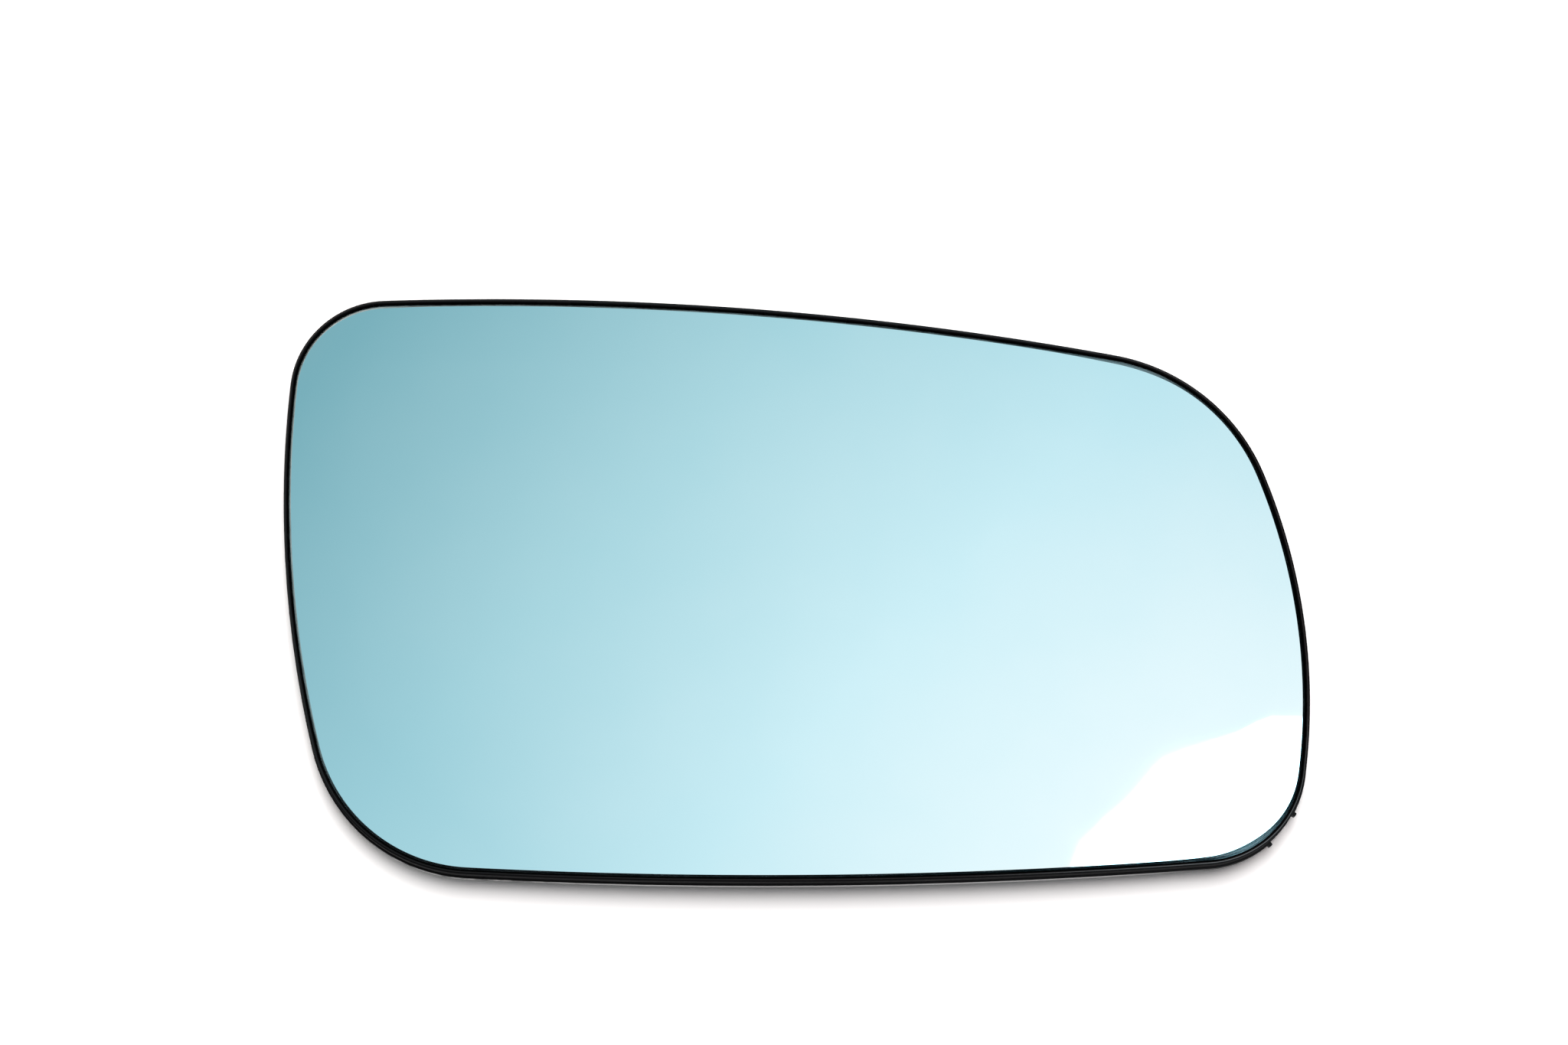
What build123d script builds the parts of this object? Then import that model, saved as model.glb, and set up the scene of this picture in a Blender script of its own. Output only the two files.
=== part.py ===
from build123d import *
import os

# Convex mirror glass
front_radius = 1400.0
glass_thickness = 2.0

# Heater foil that bonds the glass to the panel, with a line of adhesive on each side
foil_thickness = 0.3
foil_inset = 2.0
bond_line = 0.05

# Rim outline: reach of its corners from the collar axis before rounding, lean of the two ends,
# fall of the two long sides, outward bow of each side and radius of each corner
inboard_reach = 82.6
outboard_reach = 85.9
top_reach = 51.9
bottom_reach = 44.9
inboard_lean = 10.5
outboard_lean = 11.2
top_fall = 12.8
bottom_fall = 1.6
top_bow = 4.8
right_bow = 9.1
bottom_bow = 3.5
left_bow = 6.5
top_left_radius = 16.2
top_right_radius = 33.1
bottom_right_radius = 18.2
bottom_left_radius = 28.9

# Moulded panel with its flange, and the lip that frames the glass
panel_thickness = 1.5
flange_width = 0.35
lip_thickness = 0.5
lip_proud = 0.3
crown_bevel = 0.2
glass_clearance = 0.3

# Cut-off gate on the lower right corner, as shares of the corner's arc
gate_start = 0.46
gate_end = 0.73
gate_stub = 0.15
nub_width = 0.7
nub_proud = 0.4
nub_round = 0.2

# Stiffening ribs on the back
rib_thickness = 1.0
rib_height = 2.5
rim_rib_inset = 3.0
spoke_count = 12

# Clip collar: spring fingers with a bead that snaps over the adjuster plate
collar_height = 9.0
collar_wall = 1.6
socket_radius = 28.2
bead_depth = 0.8
bead_lead = 0.8
bead_land = 1.2
finger_count = 8
finger_slot = 2.0
finger_bevel = 0.4
slot_depth = 6.0
root_flare = 1.0

# Heater terminals: folded tabs on the foil, standing in windows of the panel
terminal_gap = 11.6
terminal_spacing = 13.0
tab_width = 6.3
tab_thickness = 0.8
tab_length = 8.0
tab_hole = 1.8
tab_chamfer = 1.2
pad_length = 5.0
fold_radius = 0.6
window_clearance = 0.8

top_left = (-inboard_reach, top_reach)
top_right = (outboard_reach - outboard_lean, top_reach - top_fall)
bottom_right = (outboard_reach, -bottom_reach)
bottom_left = (inboard_lean - inboard_reach, -bottom_reach - bottom_fall)

# The layers lie between spheres that share one centre, far below the mirror
glass_back = front_radius - glass_thickness
foil_front = glass_back - bond_line
foil_back = foil_front - foil_thickness
panel_front = foil_back - bond_line
panel_back = panel_front - panel_thickness
panel_core = panel_front - panel_thickness / 2
rib_foot = panel_back - rib_height
crown_top = front_radius + lip_proud
centre = Vector(0, 0, collar_height - panel_back)
blank_height = centre.Z + crown_top

glass_inset = lip_thickness + glass_clearance
collar_inside = socket_radius + bead_depth
collar_outside = collar_inside + collar_wall
terminal_x = -(collar_outside + terminal_gap + window_clearance + pad_length)
terminal_rows = (-terminal_spacing / 2, terminal_spacing / 2)


def ball(radius):
    """Sphere about the shared centre, turned so that its poles lie off to the sides."""
    return Pos(centre) * Sphere(radius, rotation=(90, 0, 0))


def layer(plan, inner, outer):
    """Solid over a flat plan, between two of the concentric spheres."""
    return (extrude(plan, blank_height, both=True) & ball(outer)) - ball(inner)


def front_face(solid):
    return solid.faces().filter_by(GeomType.SPHERE).sort_by(Axis.Z)[-1]


def side_circle(start, end, bow, grow):
    """Centre and radius of the circle that bows one side of the outline, moved out by grow."""
    start = Vector(*start)
    end = Vector(*end)
    span = end - start
    radius = (span.length**2 / 4 + bow**2) / (2 * bow)
    inward = span.normalized().rotate(Axis.Z, 90)
    return (start + end) / 2 + inward * (radius - bow), radius + grow


def crossing(first, second, corner):
    """Point nearest to the corner at which two circles cross."""
    (first_hub, first_radius), (second_hub, second_radius) = first, second
    span = second_hub - first_hub
    along = (first_radius**2 - second_radius**2 + span.length**2) / (2 * span.length)
    foot = first_hub + span.normalized() * along
    across = span.normalized().rotate(Axis.Z, 90) * (first_radius**2 - along**2) ** 0.5
    return min(foot + across, foot - across, key=lambda point: (point - Vector(*corner)).length)


def side_arc(circle, start, end):
    hub, radius = circle
    outward = (start + end) / 2 - hub
    return ThreePointArc(start, hub + outward.normalized() * radius, end)


def outline(grow=0.0):
    """Rim outline moved out by grow: four bowed sides with rounded corners."""
    bottom = side_circle(bottom_left, bottom_right, bottom_bow, grow)
    right = side_circle(bottom_right, top_right, right_bow, grow)
    top = side_circle(top_right, top_left, top_bow, grow)
    left = side_circle(top_left, bottom_left, left_bow, grow)
    low_left = crossing(left, bottom, bottom_left)
    low_right = crossing(bottom, right, bottom_right)
    high_right = crossing(right, top, top_right)
    high_left = crossing(top, left, top_left)
    sides = (
        side_arc(bottom, low_left, low_right),
        side_arc(right, low_right, high_right),
        side_arc(top, high_right, high_left),
        side_arc(left, high_left, low_left),
    )
    plan = make_face(sides)
    corners = (
        (low_left, bottom_left_radius),
        (low_right, bottom_right_radius),
        (high_right, top_right_radius),
        (high_left, top_left_radius),
    )
    for corner, radius in corners:
        plan = fillet(plan.vertices().sort_by_distance(corner)[0], radius + grow)
    return plan


def panel_plan():
    """Panel out to its flange, trimmed back to a stub between the two nubs of the gate."""
    flange = outline(flange_width)
    arc = flange.edges().sort_by_distance(bottom_right)[0]
    gate = make_face(Polyline(arc.arc_center, arc @ gate_start, bottom_right, arc @ gate_end, close=True))
    plan = flange - (gate - outline(gate_stub))
    nub = RectangleRounded(nub_width, 2 * nub_proud, min(nub_round, 0.45 * nub_width, 0.9 * nub_proud))
    for share in (gate_start, gate_end):
        plan += Plane(origin=arc @ share, x_dir=arc % share, z_dir=(0, 0, 1)) * nub
    return plan


def rib_plan():
    """Rib that follows the rim, and spokes from the collar out to it."""
    inside = outline(-rim_rib_inset)
    reach = inside.bounding_box().diagonal
    spokes = Sketch()
    for spot in PolarLocations(reach / 2, spoke_count, start_angle=180 / spoke_count):
        spokes += spot * Rectangle(reach, rib_thickness)
    spokes = (spokes & inside) - Circle(collar_inside)
    return inside - outline(-rim_rib_inset - rib_thickness) + spokes


def rim_lip():
    """Lip round the glass, with its outer edge bevelled."""
    lip = layer(outline() - outline(-lip_thickness), panel_core, crown_top)
    crown = front_face(lip)
    return chamfer(crown.outer_wire().edges(), crown_bevel, crown_bevel, reference=crown)


def clip_collar():
    bead_end = bead_lead + bead_land + bead_depth
    wall_top = collar_height + panel_thickness
    section = make_face(
        Polyline(
            (collar_inside, 0, 0),
            (collar_outside - finger_bevel, 0, 0),
            (collar_outside, 0, finger_bevel),
            (collar_outside, 0, collar_height - 2 * root_flare),
            (collar_outside + root_flare, 0, collar_height),
            (collar_outside + root_flare, 0, wall_top),
            (collar_inside, 0, wall_top),
            (collar_inside, 0, bead_end),
            (socket_radius, 0, bead_lead + bead_land),
            (socket_radius, 0, bead_lead),
            close=True,
        )
    )
    half_pitch = 180 / finger_count
    collar = Rot(0, 0, half_pitch) * revolve(section, Axis.Z) & ball(panel_core)
    slot = Box(2 * collar_outside, finger_slot, slot_depth, align=(Align.MIN, Align.CENTER, Align.MIN))
    for finger in range(finger_count):
        collar -= Rot(0, 0, (2 * finger + 1) * half_pitch) * slot
    return collar


def terminal_window(row):
    size = (pad_length + 2 * window_clearance, tab_width + 2 * window_clearance)
    return extrude(Pos(terminal_x + pad_length / 2, row) * Rectangle(*size), blank_height)


def backing_plate():
    plate = layer(panel_plan(), panel_back, panel_front) + layer(rib_plan(), rib_foot, panel_core)
    for row in terminal_rows:
        plate -= terminal_window(row)
    return plate + rim_lip() + clip_collar()


def heater_terminal(row):
    """Tab folded square, its pad lying on the foil and trimmed to the foil's curve."""
    inner_corner = (tab_thickness, -tab_thickness)
    profile = make_face(
        Polyline(
            (0, 0),
            (pad_length, 0),
            (pad_length, -tab_thickness),
            inner_corner,
            (tab_thickness, -tab_length),
            (0, -tab_length),
            close=True,
        )
    )
    profile = fillet(profile.vertices().sort_by_distance(inner_corner)[0], fold_radius)
    profile = fillet(profile.vertices().sort_by_distance((0, 0))[0], fold_radius + tab_thickness)
    tab = extrude(Plane.XZ * profile, tab_width / 2, both=True)
    tab = chamfer(tab.edges().filter_by(Axis.X).group_by(Axis.Z)[0], tab_chamfer)
    tab -= Pos(0, 0, -tab_length / 2) * Cylinder(tab_hole / 2, 4 * tab_thickness, rotation=(0, 90, 0))
    height = (panel_front**2 - terminal_x**2 - row**2) ** 0.5
    normal = Vector(terminal_x, row, height)
    seat = Plane(origin=centre + normal, x_dir=(1, 0, 0), z_dir=normal)
    return (seat * tab) & ball(panel_front)


def heater_foil():
    return layer(outline(-glass_inset - foil_inset), foil_back, foil_front)


def mirror_glass():
    """Glass with a plain edge all round."""
    return layer(outline(-glass_inset), glass_back, front_radius)


nodes = {
    "backing_plate": backing_plate(),
    "heater_foil": heater_foil(),
    "heater_terminal_lower": heater_terminal(terminal_rows[0]),
    "heater_terminal_upper": heater_terminal(terminal_rows[1]),
    "mirror_glass": mirror_glass(),
}

os.makedirs("parts", exist_ok=True)
for name, solid in nodes.items():
    export_step(solid, f"parts/{name}.step")
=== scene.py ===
import math

import bmesh
import bpy
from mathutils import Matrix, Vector


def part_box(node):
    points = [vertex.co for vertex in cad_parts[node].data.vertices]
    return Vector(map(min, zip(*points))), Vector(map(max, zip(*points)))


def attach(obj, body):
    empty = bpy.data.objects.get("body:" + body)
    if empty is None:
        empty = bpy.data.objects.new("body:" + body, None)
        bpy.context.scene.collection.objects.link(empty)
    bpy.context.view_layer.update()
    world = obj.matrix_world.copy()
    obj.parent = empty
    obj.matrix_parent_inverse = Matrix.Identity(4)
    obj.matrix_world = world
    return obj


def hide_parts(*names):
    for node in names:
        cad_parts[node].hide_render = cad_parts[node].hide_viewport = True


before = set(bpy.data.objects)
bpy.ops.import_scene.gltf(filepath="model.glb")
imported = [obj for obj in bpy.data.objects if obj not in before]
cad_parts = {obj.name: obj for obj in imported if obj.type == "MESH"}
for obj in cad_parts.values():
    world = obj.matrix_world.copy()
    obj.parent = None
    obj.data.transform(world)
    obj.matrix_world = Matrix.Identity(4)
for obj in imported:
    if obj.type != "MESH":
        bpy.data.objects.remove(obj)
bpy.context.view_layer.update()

MM = 0.001

# Rim plan shared with the solids, in millimetres: corner before rounding, its radius,
# and the outward bow of the side that runs on to the next corner
CORNERS = (
    (Vector((-72.1, -46.5)), 28.9, 3.5),
    (Vector((85.9, -44.9)), 18.2, 9.1),
    (Vector((74.7, 39.1)), 33.1, 4.8),
    (Vector((-82.6, 51.9)), 16.2, 6.5),
)

# Glass, lip and panel as in the solids, in millimetres; depths count from the front of the glass
FRONT_RADIUS = 1400.0
GLASS_THICKNESS = 2.0
GLASS_CLEARANCE = 0.3
LIP_THICKNESS = 0.5
LIP_PROUD = 0.3
FLANGE_DEPTH = 2.4
COLLAR_HEIGHT = 9.0
PANEL_THICKNESS = 1.5
PANEL_MIDDLE = COLLAR_HEIGHT + PANEL_THICKNESS / 2
GLASS_INSET = LIP_THICKNESS + GLASS_CLEARANCE

# Ground bevel of the glass, in millimetres, and spots where it is wider: place, extra width and reach
BEVEL_WIDTH = 0.4
BEVEL_DEPTH = 0.15
GROUND_SPOTS = (
    (Vector((79.5, -44.0)), 0.5, 8.0),
    (Vector((61.5, 41.5)), 0.25, 9.0),
    (Vector((-72.0, 51.5)), 0.12, 8.0),
)

# Spacing of points round the glass and the crest, in millimetres, and the rings that fill
# the glass: insets from its edge, then shares by which the last of them shrinks
GLASS_STEP = 1.2
CREST_STEP = 1.0
GLASS_INSETS = (0.06, 0.3, 1.0, 2.5, 5.0, 8.0, 11.0)
GLASS_SHRINKS = (0.88, 0.76, 0.64, 0.52, 0.40, 0.28, 0.16, 0.06)
RIM_UV = "along_rim"

# Crest over the lip, in millimetres: its skin, its rise and the radii of its turns,
# and the leans from upright at which each turn has points, in degrees
CREST_SKIN = 0.012
CREST_RISE = 0.12
OUTER_TURN = 0.08
CREST_TURN = 1.5
INNER_TURN = 0.147
OUTER_LEANS = (90.0, 65.0, 40.0, 25.0)
CREST_LEANS = (16.0, 13.0, 10.0, 7.0, 4.0)
INNER_LEANS = (-25.0, -50.0, -70.0, -90.0)

# Painted reflection of the table, a pale band on the panel's edge, in metres: spans over which it sets
# in along Y, along X and away from the collar, and the span along X over which its dashes close up;
# then the share of the panel's thickness that it takes each way from the middle, and how far up an
# upright face may look
PAINTED_REFLECTION_Y = (-0.0405, -0.0445)
PAINTED_REFLECTION_X = (0.074, 0.054)
PAINTED_REFLECTION_REACH = (0.044, 0.045)
DASHES_X = (-0.048, -0.028)
PAINTED_REFLECTION_SHARE = 0.48
UPRIGHT_LIMIT = 0.5

# Span in which most values of a noise texture lie
NOISE_SPAN = (0.3, 0.7)

# Level directions along which the light changes, as the mirror is seen from the front
TO_LOWER_RIGHT = (0.743, -0.669, 0.0)
TO_UPPER_RIGHT = (0.669, 0.743, 0.0)

# Floor, in metres: half its width, and the span over which it fades to white for the camera
FLOOR_HALF = 3.0
FLOOR_FADE = (0.16, 0.4)
FLOOR_GREY = (0.8, 0.8, 0.8)
FLOOR_SEEN = (1.17, 1.15, 1.145)
WHITE = (1.0, 1.0, 1.0)

# Softbox beside the camera, as the lower right of the mirror shows it
SOFTBOX_CENTRE = Vector((0.436, -0.0825, 1.2))
SOFTBOX_RADIUS = 0.244
SOFTBOX_SIDES = 16
SOFTBOX_COLOUR = (0.93, 1.0, 1.04)
SOFTBOX_STRENGTH = 4.5

# Lamp that lights the table
KEY_PLACE = Vector((0.03, 0.08, 1.05))
KEY_SIZE = (0.28, 0.52)
KEY_POWER = 9.0

# Room light: glow from upper left to lower right, its tint to both sides of that line,
# the dark part overhead with the softbox's spill on it, and the pale horizon
GLOW_SPAN = (-0.78, 0.12)
GLOW_STOPS = (
    (0.0, (1.2, 1.0, 0.9)),
    (0.32, (0.4, 0.43, 0.43)),
    (0.44, (0.35, 0.49, 0.52)),
    (0.62, (0.73, 0.77, 0.78)),
    (0.78, (1.1, 0.98, 0.97)),
    (1.0, (1.6, 1.14, 1.08)),
)
ASIDE_SPAN = (-0.04, 0.36)
ASIDE_TINT = (0.82, 0.9, 0.92)
DARK_Y = (0.03, -0.12)
DARK_X = (0.36, 0.5)
DARK = (0.004, 0.004, 0.005)
SPILL_X = (0.05, 0.5)
SPILL_Y = (0.08, -0.12)
SPILL = (0.20, 0.24, 0.27)
HORIZON_Z = (0.56, 0.36)
HORIZON = (0.85, 0.83, 0.82)

CAMERA_PLACE = Vector((1.02, -129.87, 628.48)) * MM
CAMERA_TILT = math.radians(13.0)
CAMERA_LENS = 85.0
CAMERA_SENSOR = 36.0
CAMERA_NEAR = 0.01

glass_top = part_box("mirror_glass")[1].z / MM
centre_z = glass_top - FRONT_RADIUS


# Rim plan

def side_circle(start, end, bow):
    """Centre and radius of the circle that bows outward between two corners."""
    span = end - start
    radius = (span.length_squared / 4 + bow**2) / (2 * bow)
    inward = Vector((-span.y, span.x)).normalized()
    return (start + end) / 2 + inward * (radius - bow), radius


def rounding_centre(corner, radius, before, after):
    """Centre of the corner's arc, which lies inside both neighbouring circles and touches them."""
    (before_hub, before_radius), (after_hub, after_radius) = before, after
    before_reach = before_radius - radius
    after_reach = after_radius - radius
    axis = after_hub - before_hub
    along = (before_reach**2 - after_reach**2 + axis.length_squared) / (2 * axis.length)
    across = math.sqrt(before_reach**2 - along**2)
    axis.normalize()
    normal = Vector((-axis.y, axis.x))
    foot = before_hub + axis * along
    meetings = (foot + normal * across, foot - normal * across)
    return min(meetings, key=lambda point: (point - corner).length)


def heading(vector):
    return math.atan2(vector.y, vector.x)


def rim_plan(step):
    """Points round the rim from the lower left corner, as (point, outward, run), and the whole run."""
    count = len(CORNERS)
    places, radii, bows = zip(*CORNERS)
    sides = [side_circle(places[i], places[(i + 1) % count], bows[i]) for i in range(count)]
    hubs = [rounding_centre(places[i], radii[i], sides[i - 1], sides[i]) for i in range(count)]
    arcs = []
    for i in range(count):
        turn_in = heading(hubs[i] - sides[i - 1][0])
        turn_out = heading(hubs[i] - sides[i][0])
        side_end = heading(hubs[(i + 1) % count] - sides[i][0])
        arcs.append((hubs[i], radii[i], turn_in, turn_out))
        arcs.append((*sides[i], turn_out, side_end))
    points, run = [], 0.0
    for centre, radius, start, end in arcs:
        turn = (end - start) % math.tau
        pieces = math.ceil(turn * radius / step)
        for k in range(pieces):
            angle = start + turn * k / pieces
            out = Vector((math.cos(angle), math.sin(angle)))
            points.append((centre + out * radius, out, run + turn * radius * k / pieces))
        run += turn * radius
    return points, run


def lift(plan, radius):
    """Point over a plan position, on the sphere of that radius about the shared centre, in metres."""
    height = centre_z + math.sqrt(radius**2 - plan.length_squared)
    return Vector((plan.x, plan.y, height)) * MM


# Meshes

def bevel_width(point):
    """Width of the glass bevel beside a point of the rim."""
    width = BEVEL_WIDTH
    for spot, extra, reach in GROUND_SPOTS:
        width += extra * math.exp(-((point - spot).length / reach) ** 2)
    return width


def add_ring(bm, plan, offset, radius, shrink=1.0, inside_bevel=False):
    """Ring of points at an offset from the rim, or from the inner edge of the glass bevel."""
    ring = []
    for point, out, _ in plan:
        reach = offset - bevel_width(point) if inside_bevel else offset
        ring.append(bm.verts.new(lift((point + out * reach) * shrink, radius)))
    return ring


def bridge(bm, lower, upper, material):
    """Band of quads between two rings, facing out when the second ring lies above or inside."""
    count = len(lower)
    faces = []
    for k in range(count):
        after = (k + 1) % count
        face = bm.faces.new((lower[k], lower[after], upper[after], upper[k]))
        face.material_index = material
        face.smooth = True
        faces.append(face)
    return faces


def close_disc(bm, ring, hub, material, upward):
    """Fan of triangles from a ring to a point in its middle."""
    count = len(ring)
    for k in range(count):
        pair = (ring[k], ring[(k + 1) % count])
        face = bm.faces.new((*pair, hub) if upward else (*reversed(pair), hub))
        face.material_index = material
        face.smooth = True


def sharpen(rings):
    """Marks the edges that run along the given rings as sharp."""
    for ring in rings:
        loop = set(ring)
        for vert in ring:
            for edge in vert.link_edges:
                if edge.other_vert(vert) in loop:
                    edge.smooth = False


def add_piece(name, bm, materials):
    mesh = bpy.data.meshes.new(name)
    bm.to_mesh(mesh)
    bm.free()
    for material in materials:
        mesh.materials.append(material)
    piece = bpy.data.objects.new(name, mesh)
    bpy.context.scene.collection.objects.link(piece)
    return piece


def mark_runs(bm, faces, plan, whole_run, height):
    """Texture coordinates in metres along a band of faces and across it."""
    layer = bm.loops.layers.uv.new(RIM_UV)
    starts = [run for _, _, run in plan]
    ends = starts[1:] + [whole_run]
    for face, start, end in zip(faces, starts, ends):
        for loop, (run, level) in zip(face.loops, ((start, 0), (end, 0), (end, 1), (start, 1))):
            loop[layer].uv = (run * MM, level * height * MM)


def build_glass(materials):
    """Mirror glass with a spherical front, its ground bevel and a plain wall and back."""
    plan, whole_run = rim_plan(GLASS_STEP)
    bm = bmesh.new()
    mirror, ground, wall = range(3)
    back_radius = FRONT_RADIUS - GLASS_THICKNESS
    foot = add_ring(bm, plan, -GLASS_INSET, back_radius)
    shoulder = add_ring(bm, plan, -GLASS_INSET, FRONT_RADIUS - BEVEL_DEPTH)
    arris = add_ring(bm, plan, -GLASS_INSET, FRONT_RADIUS, inside_bevel=True)
    bridge(bm, foot, shoulder, wall)
    bevel_faces = bridge(bm, shoulder, arris, ground)
    steps = [(inset, 1.0) for inset in GLASS_INSETS]
    steps += [(GLASS_INSETS[-1], shrink) for shrink in GLASS_SHRINKS]
    for start, radius, material, front in (
        (arris, FRONT_RADIUS, mirror, True),
        (foot, back_radius, wall, False),
    ):
        ring = start
        for inset, shrink in steps:
            inner = add_ring(bm, plan, -GLASS_INSET - inset, radius, shrink, inside_bevel=front)
            lower, upper = (ring, inner) if front else (inner, ring)
            bridge(bm, lower, upper, material)
            ring = inner
        hub = bm.verts.new(lift(Vector((0.0, 0.0)), radius))
        close_disc(bm, ring, hub, material, front)
    sharpen((foot, shoulder, arris))
    mark_runs(bm, bevel_faces, plan, whole_run, BEVEL_WIDTH)
    return add_piece("glass", bm, materials)


def arc(hub, radius, leans):
    """Points of a section on a circle, as (offset, radius), at leans from upright in degrees."""
    turns = [math.radians(lean) for lean in leans]
    return [(hub[0] + radius * math.sin(turn), hub[1] + radius * math.cos(turn)) for turn in turns]


def sweep(name, section, bands, materials):
    """Closed section, anticlockwise from its outer foot, carried round the rim; a material per band."""
    plan, _ = rim_plan(CREST_STEP)
    bm = bmesh.new()
    rings = [add_ring(bm, plan, offset, radius) for offset, radius in section]
    for lower, upper, band in zip(rings, rings[1:] + rings[:1], bands):
        bridge(bm, lower, upper, band)
    sharpen((rings[0], rings[-1]))
    return add_piece(name, bm, materials)


def build_crown(materials):
    """Skin over the rim lip, with a crest that is polished and leans out, and dull elsewhere."""
    inner_side = -LIP_THICKNESS - CREST_SKIN
    crest_top = FRONT_RADIUS + LIP_PROUD + CREST_RISE
    inner_hub = (inner_side + INNER_TURN, crest_top - INNER_TURN)
    crest_hub = arc(inner_hub, INNER_TURN - CREST_TURN, CREST_LEANS[-1:])[0]
    outer_hub = arc(crest_hub, CREST_TURN - OUTER_TURN, CREST_LEANS[:1])[0]
    section = [
        (CREST_SKIN, FRONT_RADIUS - FLANGE_DEPTH + CREST_SKIN),
        *arc(outer_hub, OUTER_TURN, OUTER_LEANS),
        *arc(crest_hub, CREST_TURN, CREST_LEANS),
        *arc(inner_hub, INNER_TURN, INNER_LEANS),
        (inner_side, FRONT_RADIUS - GLASS_THICKNESS),
    ]
    polished, dull = range(2)
    outer_bands, crest_bands, inner_bands = 3, 6, 6
    bands = [dull] * outer_bands + [polished] * crest_bands + [dull] * inner_bands
    return sweep("rim_crown", section, bands, materials)


# Shader graphs

class Graph:
    """Thin wrapper that keeps node code short: nodes by type, inputs by a socket's name or number."""

    def __init__(self, tree):
        self.tree = tree
        tree.nodes.clear()

    def add(self, kind, inputs=(), **settings):
        node = self.tree.nodes.new(kind)
        for key, value in settings.items():
            setattr(node, key, value)
        for key, value in dict(inputs).items():
            if isinstance(value, bpy.types.NodeSocket):
                self.tree.links.new(value, node.inputs[key])
            else:
                node.inputs[key].default_value = value
        return node

    def math(self, operation, *values):
        return self.add("ShaderNodeMath", dict(enumerate(values)), operation=operation).outputs[0]

    def dot(self, vector, direction):
        node = self.add("ShaderNodeVectorMath", {0: vector, 1: direction}, operation="DOT_PRODUCT")
        return node.outputs["Value"]

    def length(self, vector):
        return self.add("ShaderNodeVectorMath", {0: vector}, operation="LENGTH").outputs["Value"]

    def times(self, first, second):
        node = self.add("ShaderNodeVectorMath", {0: first, 1: second}, operation="MULTIPLY")
        return node.outputs["Vector"]

    def axes(self, vector):
        return self.add("ShaderNodeSeparateXYZ", {"Vector": vector}).outputs

    def spread(self, value, low, high, to_low=0.0, to_high=1.0, smooth=False):
        """Maps a value from one range onto another, held at both ends."""
        node = self.add(
            "ShaderNodeMapRange",
            {"Value": value, "From Min": low, "From Max": high, "To Min": to_low, "To Max": to_high},
            interpolation_type="SMOOTHSTEP" if smooth else "LINEAR",
        )
        return node.outputs["Result"]

    def ramp(self, value, stops):
        node = self.add("ShaderNodeValToRGB", {"Fac": value})
        elements = node.color_ramp.elements
        while len(elements) < len(stops):
            elements.new(1.0)
        for element, (position, colour) in zip(elements, stops):
            element.position = position
            element.color = (*colour, 1.0)
        return node.outputs["Color"]

    def mix(self, share, first, second):
        """Blend of two colours, by the sockets that the mix node has for colours."""
        share_in, first_in, second_in, colour_out = 0, 6, 7, 2
        inputs = {share_in: share}
        for key, value in ((first_in, first), (second_in, second)):
            inputs[key] = value if isinstance(value, bpy.types.NodeSocket) else (*value, 1.0)
        return self.add("ShaderNodeMix", inputs, data_type="RGBA").outputs[colour_out]

    def noise(self, vector, scale, detail=2.0, roughness=0.5):
        node = self.add(
            "ShaderNodeTexNoise",
            {"Vector": vector, "Scale": scale, "Detail": detail, "Roughness": roughness},
        )
        return node.outputs["Fac"]


def new_material(name):
    material = bpy.data.materials.new(name)
    material.use_nodes = True
    return material, Graph(material.node_tree)


def surface(graph, shader):
    output = graph.add("ShaderNodeOutputMaterial")
    graph.tree.links.new(shader.outputs[0], output.inputs["Surface"])


def principled(graph, values):
    """Ends a material with a principled shader."""
    surface(graph, graph.add("ShaderNodeBsdfPrincipled", values))


def object_position(graph):
    return graph.add("ShaderNodeTexCoord").outputs["Object"]


# Materials

def mirror_material():
    """Tinted mirror with faint smears and a few specks of dust."""
    tints = (0.55, 0.885, 0.965), (0.57, 0.895, 0.972)
    tint_span = (0.35, 0.65)
    smear_scale = 45.0
    polish = (0.012, 0.03)
    dust_colour = (0.92, 0.93, 0.92)
    dust_scale = 55.0
    speck_sizes = (0.004, 0.011)
    dusty_share = 0.10
    material, graph = new_material("mirror_silver")
    place = object_position(graph)
    smear = graph.noise(place, smear_scale, detail=3.0)
    tint = graph.mix(graph.spread(smear, *tint_span), *tints)
    cells = graph.add("ShaderNodeTexVoronoi", {"Vector": place, "Scale": dust_scale, "Randomness": 1.0})
    pick = graph.add("ShaderNodeSeparateColor", {"Color": cells.outputs["Color"]})
    speck_size = graph.spread(pick.outputs["Green"], 0.0, 1.0, *speck_sizes)
    near = graph.math("LESS_THAN", cells.outputs["Distance"], speck_size)
    chosen = graph.math("LESS_THAN", pick.outputs["Red"], dusty_share)
    dust = graph.math("MULTIPLY", near, chosen)
    principled(
        graph,
        {
            "Base Color": graph.mix(dust, tint, dust_colour),
            "Metallic": graph.math("SUBTRACT", 1.0, dust),
            "Roughness": graph.math("MAXIMUM", graph.spread(smear, *NOISE_SPAN, *polish), dust),
        },
    )
    return material


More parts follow.
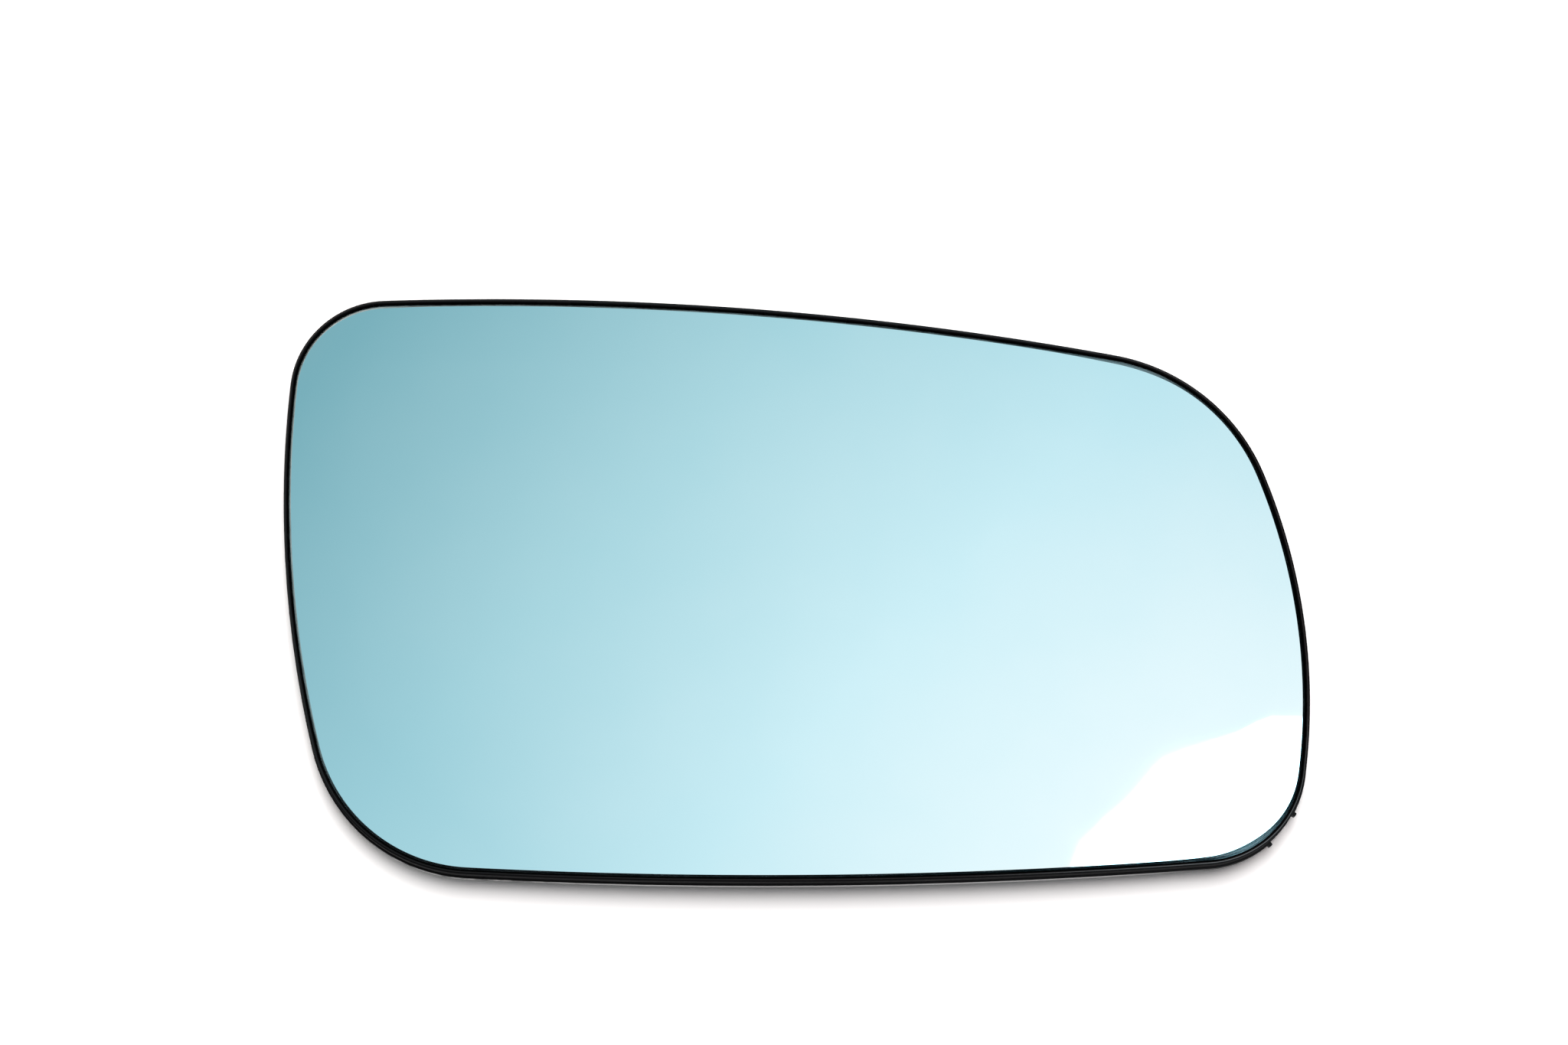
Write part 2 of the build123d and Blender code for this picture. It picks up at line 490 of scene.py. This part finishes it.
def bevel_material():
    """Ground glass with streaks along the rim, in tones of painted light: pale at the upper left and
    deep at the lower right, set against the room light and softbox that it reflects.
    """
    painted_light_tones = (0.45, 0.60, 0.64), (0.62, 0.78, 0.82)
    painted_shade_tones = (0.05, 0.10, 0.115), (0.17, 0.22, 0.24)
    painted_shade_span = (0.45, 0.75)
    painted_light_span = (-0.03, 0.05)
    roughness = (0.12, 0.3)
    streak_scale = (120.0, 9000.0, 1.0)
    streak_depth = 0.00006
    material, graph = new_material("ground_bevel")
    run = graph.add("ShaderNodeUVMap", uv_map=RIM_UV).outputs["UV"]
    stretched = graph.add("ShaderNodeMapping", {"Vector": run, "Scale": streak_scale})
    streaks = graph.noise(stretched.outputs["Vector"], 1.0, detail=4.0, roughness=0.6)
    bump = graph.add("ShaderNodeBump", {"Height": streaks, "Strength": 0.5, "Distance": streak_depth})
    along = graph.dot(object_position(graph), TO_LOWER_RIGHT)
    painted_light = graph.mix(streaks, *painted_light_tones)
    painted_shade = graph.mix(graph.spread(streaks, *painted_shade_span), *painted_shade_tones)
    principled(
        graph,
        {
            # Painted light: the bevel's tone goes from pale at the upper left to deep at the lower
            # right
            "Base Color": graph.mix(graph.spread(along, *painted_light_span), painted_light, painted_shade),
            "Metallic": 1.0,
            "Roughness": graph.spread(streaks, *NOISE_SPAN, *roughness),
            "Normal": bump.outputs["Normal"],
        },
    )
    return material


def grained_material(name, tones, scale, detail, roughness, metallic=0.0):
    """Plain finish whose tone and roughness vary with a fine grain."""
    material, graph = new_material(name)
    grain = graph.noise(object_position(graph), scale, detail)
    principled(
        graph,
        {
            "Base Color": graph.mix(grain, *tones),
            "Metallic": metallic,
            "Roughness": graph.spread(grain, *NOISE_SPAN, *roughness),
        },
    )
    return material


def glass_wall_material():
    tones = (0.010, 0.022, 0.022), (0.03, 0.05, 0.05)
    return grained_material("seamed_glass_edge", tones, scale=1800.0, detail=2.0, roughness=(0.35, 0.6))


def foil_material():
    tones = (0.08, 0.08, 0.085), (0.13, 0.13, 0.135)
    return grained_material("printed_foil", tones, scale=900.0, detail=2.0, roughness=(0.4, 0.6))


def terminal_material():
    tones = (0.66, 0.64, 0.60), (0.76, 0.74, 0.70)
    return grained_material(
        "tinned_brass", tones, scale=1500.0, detail=3.0, roughness=(0.22, 0.4), metallic=1.0
    )


def plate_material(name, roughness, gloss, grain_height, with_painted_reflection=False):
    """Black moulding; with the flag set, a pale painted reflection of the table lies on its edge along
    the lower side.
    """
    blacks = (0.003, 0.003, 0.0035), (0.006, 0.006, 0.0065)
    grain_scale, flow_scale = 2600.0, 60.0
    reflection_tones = (0.30, 0.295, 0.295), (0.44, 0.435, 0.44)
    reflection_scale = 1500.0
    reflection_gloss = 0.7
    material, graph = new_material(name)
    place = object_position(graph)
    grain = graph.noise(place, grain_scale, detail=3.0)
    flow = graph.noise(place, flow_scale, detail=3.0)
    bump = graph.add("ShaderNodeBump", {"Height": grain, "Strength": 0.25, "Distance": grain_height})
    colour = graph.mix(flow, *blacks)
    # Pale painted reflection of the table on the panel's lower edge, with more gloss there
    if with_painted_reflection:
        reflection_mask = painted_table_reflection(graph, place)
        tone = graph.mix(graph.noise(place, reflection_scale), *reflection_tones)
        colour = graph.mix(reflection_mask, colour, tone)
        gloss = graph.spread(reflection_mask, 0.0, 1.0, gloss, reflection_gloss)
    principled(
        graph,
        {
            "Base Color": colour,
            "Roughness": graph.spread(flow, *NOISE_SPAN, *roughness),
            "Specular IOR Level": gloss,
            "Normal": bump.outputs["Normal"],
        },
    )
    return material


def painted_table_reflection(graph, place):
    """Mask of the painted reflection of the table on the panel's upright edge along the lower side,
    broken into dashes towards the left.
    """
    dash_scale = 420.0
    dash_span = (0.40, 0.56)
    axes = graph.axes(place)
    reach = graph.length(graph.times(place, (1.0, 1.0, 0.0)))
    sag = graph.math("DIVIDE", graph.math("POWER", reach, 2.0), 2.0 * FRONT_RADIUS * MM)
    height = graph.math("ADD", axes["Z"], sag)
    facing = graph.axes(graph.add("ShaderNodeNewGeometry").outputs["Normal"])
    masks = (
        graph.math("COMPARE", height, PANEL_MIDDLE * MM, PAINTED_REFLECTION_SHARE * PANEL_THICKNESS * MM),
        graph.math("LESS_THAN", graph.math("ABSOLUTE", facing["Z"]), UPRIGHT_LIMIT),
        graph.spread(axes["Y"], *PAINTED_REFLECTION_Y),
        graph.spread(axes["X"], *PAINTED_REFLECTION_X, smooth=True),
        graph.spread(reach, *PAINTED_REFLECTION_REACH),
    )
    dashes = graph.spread(graph.noise(place, dash_scale, detail=3.0, roughness=0.65), *dash_span)
    share = graph.math("MAXIMUM", dashes, graph.spread(axes["X"], *DASHES_X))
    for mask in masks:
        share = graph.math("MULTIPLY", share, mask)
    return share


# Stage: floor, softbox, lamp, room light and camera

def build_floor():
    """Table that is plain grey for the light, and bright and fading to white for the camera."""
    corners = ((-1, -1), (1, -1), (1, 1), (-1, 1))
    bm = bmesh.new()
    bm.faces.new([bm.verts.new((x * FLOOR_HALF, y * FLOOR_HALF, 0)) for x, y in corners])
    material, graph = new_material("studio_floor")
    path = graph.add("ShaderNodeLightPath")
    plain = graph.add("ShaderNodeBsdfDiffuse", {"Color": (*FLOOR_GREY, 1.0)})
    near = graph.add("ShaderNodeBsdfDiffuse", {"Color": (*FLOOR_SEEN, 1.0)})
    far = graph.add("ShaderNodeEmission", {"Color": (*WHITE, 1.0), "Strength": 1.0})
    fade = graph.spread(graph.length(object_position(graph)), *FLOOR_FADE, smooth=True)
    seen = graph.add("ShaderNodeMixShader", {0: fade, 1: near.outputs[0], 2: far.outputs[0]})
    shader = graph.add(
        "ShaderNodeMixShader",
        {0: path.outputs["Is Camera Ray"], 1: plain.outputs[0], 2: seen.outputs[0]},
    )
    surface(graph, shader)
    floor = add_piece("floor", bm, [material])


def build_softbox():
    """Round light that shows in reflections alone."""
    bm = bmesh.new()
    corners = []
    for k in range(SOFTBOX_SIDES):
        angle = math.tau * (k + 0.5) / SOFTBOX_SIDES
        reach = Vector((math.cos(angle), math.sin(angle), 0.0)) * SOFTBOX_RADIUS
        corners.append(bm.verts.new(SOFTBOX_CENTRE + reach))
    bm.faces.new(list(reversed(corners)))
    material, graph = new_material("softbox_cloth")
    values = {"Color": (*SOFTBOX_COLOUR, 1.0), "Strength": SOFTBOX_STRENGTH}
    surface(graph, graph.add("ShaderNodeEmission", values))
    softbox = add_piece("softbox", bm, [material])
    softbox.visible_camera = False
    softbox.visible_diffuse = False


def build_key():
    """Soft lamp overhead, kept out of the mirror."""
    lamp = bpy.data.lights.new("key", "AREA")
    lamp.shape = "ELLIPSE"
    lamp.size, lamp.size_y = KEY_SIZE
    lamp.energy = KEY_POWER
    key = bpy.data.objects.new("key", lamp)
    key.location = KEY_PLACE
    key.visible_glossy = False
    key.visible_camera = False
    bpy.context.scene.collection.objects.link(key)


def build_room():
    """Room light: glow, dark part overhead and pale horizon, and plain white for the camera."""
    world = bpy.data.worlds.new("studio")
    bpy.context.scene.world = world
    world.use_nodes = True
    graph = Graph(world.node_tree)
    way = graph.add("ShaderNodeTexCoord").outputs["Generated"]
    axes = graph.axes(way)
    glow = graph.ramp(graph.spread(graph.dot(way, TO_LOWER_RIGHT), *GLOW_SPAN), GLOW_STOPS)
    aside = graph.spread(graph.dot(way, TO_UPPER_RIGHT), *ASIDE_SPAN, -1.0, 1.0)
    dimming = graph.math("POWER", graph.math("ABSOLUTE", aside), 2.0)
    room = graph.times(glow, graph.mix(dimming, WHITE, ASIDE_TINT))
    behind = graph.spread(axes["Y"], *DARK_Y, smooth=True)
    beside = graph.spread(axes["X"], *DARK_X, smooth=True)
    spill = graph.math(
        "MULTIPLY",
        graph.spread(axes["X"], *SPILL_X, smooth=True),
        graph.spread(axes["Y"], *SPILL_Y, smooth=True),
    )
    shade = graph.mix(spill, DARK, SPILL)
    overhead = graph.mix(graph.math("MAXIMUM", behind, beside), room, shade)
    light = graph.mix(graph.spread(axes["Z"], *HORIZON_Z, smooth=True), overhead, HORIZON)
    path = graph.add("ShaderNodeLightPath")
    seen = graph.mix(path.outputs["Is Camera Ray"], light, WHITE)
    background = graph.add("ShaderNodeBackground", {"Color": seen, "Strength": 1.0})
    output = graph.add("ShaderNodeOutputWorld")
    graph.tree.links.new(background.outputs[0], output.inputs["Surface"])


def build_camera():
    camera = bpy.data.objects.new("camera", bpy.data.cameras.new("camera"))
    camera.data.lens = CAMERA_LENS
    camera.data.sensor_width = CAMERA_SENSOR
    camera.data.clip_start = CAMERA_NEAR
    camera.location = CAMERA_PLACE
    camera.rotation_euler = (CAMERA_TILT, 0.0, 0.0)
    bpy.context.scene.collection.objects.link(camera)
    bpy.context.scene.camera = camera


bpy.context.scene.view_settings.view_transform = "Standard"

build_camera()
build_room()
build_softbox()
build_key()
build_floor()

glass = build_glass([mirror_material(), bevel_material(), glass_wall_material()])
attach(glass, "root")
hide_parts("mirror_glass")

dull = plate_material("dull_black", roughness=(0.5, 0.6), gloss=0.02, grain_height=0.00003)
polished = plate_material("polished_black", roughness=(0.10, 0.16), gloss=0.42, grain_height=0.00001)
crown = build_crown([polished, dull])
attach(crown, "root")

# The moulded black carries a pale painted reflection of the table along its lower edge
moulded = plate_material(
    "moulded_black", roughness=(0.42, 0.54), gloss=0.14, grain_height=0.00003, with_painted_reflection=True
)
finishes = {
    "backing_plate": moulded,
    "heater_foil": foil_material(),
    "heater_terminal_lower": terminal_material(),
    "heater_terminal_upper": terminal_material(),
}
for name, material in finishes.items():
    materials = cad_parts[name].data.materials
    materials.clear()
    materials.append(material)
